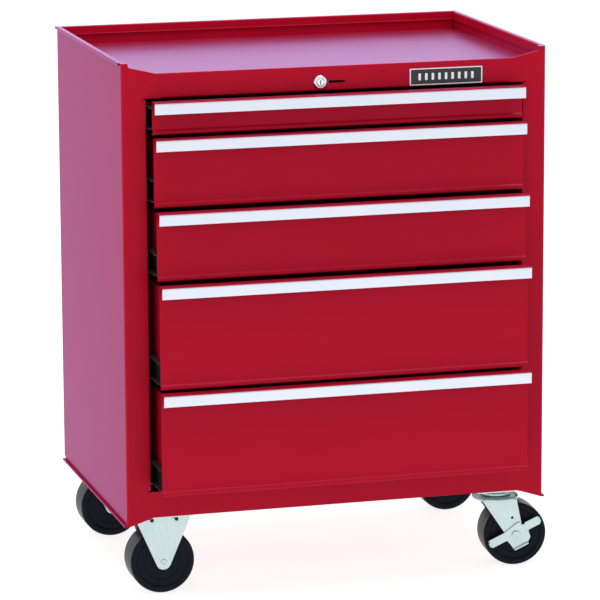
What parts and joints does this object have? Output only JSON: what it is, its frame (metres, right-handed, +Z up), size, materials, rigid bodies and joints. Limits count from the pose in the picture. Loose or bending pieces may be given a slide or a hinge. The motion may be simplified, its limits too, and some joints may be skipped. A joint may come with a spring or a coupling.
{
  "type": "rolling tool cart",
  "caption": "Rolling red sheet-steel tool cabinet with full-width drawers, bright pull strips, a keyed lock, a rimmed top tray, rigid and swivel casters and a wheel brake.",
  "frame": {"origin": "on the floor, under the middle of the whole cart's bounding box as it stands, drawers ajar", "axes": "+Z up, -Y towards the drawer fronts, +X to the right when facing the drawers"},
  "size_m": [0.6946, 0.5302, 0.8334],
  "materials": {
    "red_paint": "gloss powder coat",
    "bright_trim": "satin bright",
    "lock_chrome": "polished",
    "zinc": "bright zinc plate",
    "wheel_rubber": "semi-gloss black",
    "badge": "satin black"
  },
  "bodies": {
    "cabinet": {"side_panel_left": "red_paint", "side_panel_right": "red_paint", "back_panel": "red_paint", "top_tray": "red_paint", "header_rail": "red_paint", "bottom_rail": "red_paint", "base_pan": "red_paint", "badge_plate": "badge", "lock_housing": "lock_chrome", "lock_clip": "zinc", "cabinet_slide_1_left": "zinc", "cabinet_slide_1_right": "zinc", "cabinet_slide_2_left": "zinc", "cabinet_slide_2_right": "zinc", "cabinet_slide_3_left": "zinc", "cabinet_slide_3_right": "zinc", "cabinet_slide_4_left": "zinc", "cabinet_slide_4_right": "zinc", "cabinet_slide_5_left": "zinc", "cabinet_slide_5_right": "zinc", "rigid_frame_front": "zinc", "rigid_axle_front": "zinc", "swivel_plate_front": "zinc", "kingpin_front": "zinc", "rigid_frame_rear": "zinc", "rigid_axle_rear": "zinc", "swivel_plate_rear": "zinc", "kingpin_rear": "zinc"},
    "lock_plug": {"lock_plug": "lock_chrome", "lock_rod": "zinc"},
    "lock_bar": {"lock_bar": "zinc"},
    "drawer_1": {"drawer_1": "red_paint", "drawer_trim_1": "bright_trim", "drawer_slide_1_left": "zinc", "drawer_slide_1_right": "zinc"},
    "drawer_2": {"drawer_2": "red_paint", "drawer_trim_2": "bright_trim", "drawer_slide_2_left": "zinc", "drawer_slide_2_right": "zinc"},
    "drawer_3": {"drawer_3": "red_paint", "drawer_trim_3": "bright_trim", "drawer_slide_3_left": "zinc", "drawer_slide_3_right": "zinc"},
    "drawer_4": {"drawer_4": "red_paint", "drawer_trim_4": "bright_trim", "drawer_slide_4_left": "zinc", "drawer_slide_4_right": "zinc"},
    "drawer_5": {"drawer_5": "red_paint", "drawer_trim_5": "bright_trim", "drawer_slide_5_left": "zinc", "drawer_slide_5_right": "zinc"},
    "rigid_wheel_front": {"rigid_wheel_front": "wheel_rubber"},
    "swivel_fork_front": {"swivel_fork_front": "zinc", "swivel_axle_front": "zinc"},
    "swivel_wheel_front": {"swivel_wheel_front": "wheel_rubber"},
    "rigid_wheel_rear": {"rigid_wheel_rear": "wheel_rubber"},
    "swivel_fork_rear": {"swivel_fork_rear": "zinc", "swivel_axle_rear": "zinc"},
    "swivel_wheel_rear": {"swivel_wheel_rear": "wheel_rubber"},
    "brake_lever": {"brake_lever": "zinc"}
  },
  "joints": [
    {"name": "drawer_1_slide", "type": "slide", "parent": "cabinet", "child": "drawer_1", "axis": [0, -1, 0], "range_m": [-0.0146, 0.2754]},
    {"name": "drawer_2_slide", "type": "slide", "parent": "cabinet", "child": "drawer_2", "axis": [0, -1, 0], "range_m": [-0.0214, 0.2686]},
    {"name": "drawer_3_slide", "type": "slide", "parent": "cabinet", "child": "drawer_3", "axis": [0, -1, 0], "range_m": [-0.036, 0.254]},
    {"name": "drawer_4_slide", "type": "slide", "parent": "cabinet", "child": "drawer_4", "axis": [0, -1, 0], "range_m": [-0.0485, 0.2415]},
    {"name": "drawer_5_slide", "type": "slide", "parent": "cabinet", "child": "drawer_5", "axis": [0, -1, 0], "range_m": [-0.0514, 0.2386]},
    {"name": "lock_turn", "type": "hinge", "parent": "cabinet", "child": "lock_plug", "pos_m": [-0.03362, -0.1951, 0.7927], "axis": [0, -1, 0], "range_deg": [0, 90]},
    {"name": "lock_bar_lift", "type": "slide", "parent": "cabinet", "child": "lock_bar", "axis": [0, 0, 1], "range_m": [0, 0.00848]},
    {"name": "rigid_wheel_front_spin", "type": "hinge", "parent": "cabinet", "child": "rigid_wheel_front", "pos_m": [-0.28212, -0.1436, 0.0508], "axis": [0, 1, 0], "continuous": true},
    {"name": "swivel_fork_front_turn", "type": "hinge", "parent": "cabinet", "child": "swivel_fork_front", "pos_m": [0.26788, -0.1436, 0], "axis": [0, 0, 1], "continuous": true},
    {"name": "swivel_wheel_front_spin", "type": "hinge", "parent": "swivel_fork_front", "child": "swivel_wheel_front", "pos_m": [0.29478, -0.14595, 0.0508], "axis": [0.0872, 0.9962, 0], "continuous": true},
    {"name": "rigid_wheel_rear_spin", "type": "hinge", "parent": "cabinet", "child": "rigid_wheel_rear", "pos_m": [-0.28212, 0.2104, 0.0508], "axis": [0, 1, 0], "continuous": true},
    {"name": "swivel_fork_rear_turn", "type": "hinge", "parent": "cabinet", "child": "swivel_fork_rear", "pos_m": [0.26788, 0.2104, 0], "axis": [0, 0, 1], "continuous": true},
    {"name": "swivel_wheel_rear_spin", "type": "hinge", "parent": "swivel_fork_rear", "child": "swivel_wheel_rear", "pos_m": [0.29488, 0.2104, 0.0508], "axis": [0, 1, 0], "continuous": true},
    {"name": "brake_lever_toggle", "type": "hinge", "parent": "swivel_fork_front", "child": "brake_lever", "pos_m": [0.29478, -0.14595, 0.0508], "axis": [-0.0872, -0.9962, 0], "range_deg": [-50, 0]}
  ],
  "couplings": [
    {"joint": "lock_turn", "follows": "lock_bar_lift", "rad_per_m": 185.12}
  ]
}
